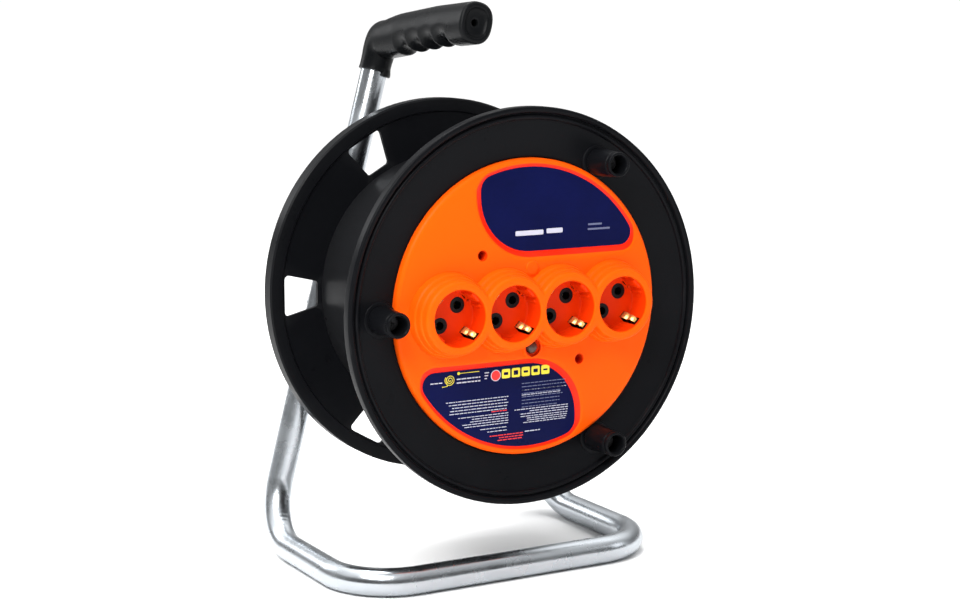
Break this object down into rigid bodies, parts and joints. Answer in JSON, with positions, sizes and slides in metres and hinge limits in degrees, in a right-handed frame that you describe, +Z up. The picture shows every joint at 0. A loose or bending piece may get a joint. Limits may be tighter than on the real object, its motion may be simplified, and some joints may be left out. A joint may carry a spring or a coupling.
{
  "type": "extension cord reel",
  "caption": "Cable drum on a bent tube stand with a carrying grip; a round front panel carries a row of earthed sockets, an overload reset button and two label fields.",
  "frame": {"origin": "on the floor, under the middle of the object's width and depth; x = 0 is the reel's axle", "axes": "+Z up, -Y is the front with the sockets, +X to the right when the sockets are faced"},
  "size_m": [0.28, 0.214, 0.408],
  "materials": {
    "zinc": "bright zinc plate, slightly streaky",
    "grip_black": "satin moulded",
    "reel_black": "satin moulded",
    "panel_orange": "semi-gloss moulded",
    "contact_black": "satin moulded",
    "contact_brass": "bright, lightly brushed",
    "steel_screw": "zinc plated",
    "plate_steel": "zinc plated sheet",
    "bush_nylon": "natural nylon",
    "label_navy": "printed film",
    "button_grey": "translucent dome",
    "cutout_case": "phenolic moulding",
    "rubber_black": "soft, matt"
  },
  "bodies": {
    "frame": {"frame_tube": "zinc", "handle_grip": "grip_black", "handle_screw": "steel_screw", "leg_end_plug": "reel_black", "bearing_plate": "plate_steel", "plate_bolts": "steel_screw", "plate_nuts": "steel_screw", "axle_bolt": "plate_steel", "axle_lock_nut": "plate_steel", "axle_spacer": "plate_steel", "axle_washers": "plate_steel", "axle_end_nut": "plate_steel"},
    "reel": {"rear_flange": "reel_black", "drum_shell": "reel_black", "front_flange": "reel_black", "hub_bushes": "bush_nylon", "flange_screws": "steel_screw", "front_panel": "panel_orange", "panel_screws": "steel_screw", "contact_block_1": "contact_black", "contact_block_2": "contact_black", "contact_block_3": "contact_black", "contact_block_4": "contact_black", "live_bus": "contact_brass", "neutral_bus": "contact_brass", "earth_strip": "contact_brass", "terminal_screws": "steel_screw", "thermal_cutout": "cutout_case", "cutout_link": "contact_brass", "label_upper": "label_navy", "label_lower": "label_navy", "cable_inlet": "rubber_black", "knob_screws": "steel_screw"},
    "reset_button": {"reset_button": "button_grey"},
    "knob_1": {"knob_1": "reel_black"},
    "knob_2": {"knob_2": "reel_black"},
    "knob_3": {"knob_3": "reel_black"}
  },
  "joints": [
    {"name": "reel_spin", "type": "hinge", "parent": "frame", "child": "reel", "pos_m": [0, -0.00842, 0.1966], "axis": [0, -1, 0], "continuous": true},
    {"name": "knob_1_turn", "type": "hinge", "parent": "reel", "child": "knob_1", "pos_m": [-0.1145, -0.08842, 0.1966], "axis": [0, -1, 0], "continuous": true},
    {"name": "knob_2_turn", "type": "hinge", "parent": "reel", "child": "knob_2", "pos_m": [0.05725, -0.08842, 0.29576], "axis": [0, -1, 0], "continuous": true},
    {"name": "knob_3_turn", "type": "hinge", "parent": "reel", "child": "knob_3", "pos_m": [0.05725, -0.08842, 0.09744], "axis": [0, -1, 0], "continuous": true},
    {"name": "reset_travel", "type": "slide", "parent": "reel", "child": "reset_button", "axis": [0, -1, 0], "range_m": [0, 0.003]}
  ]
}
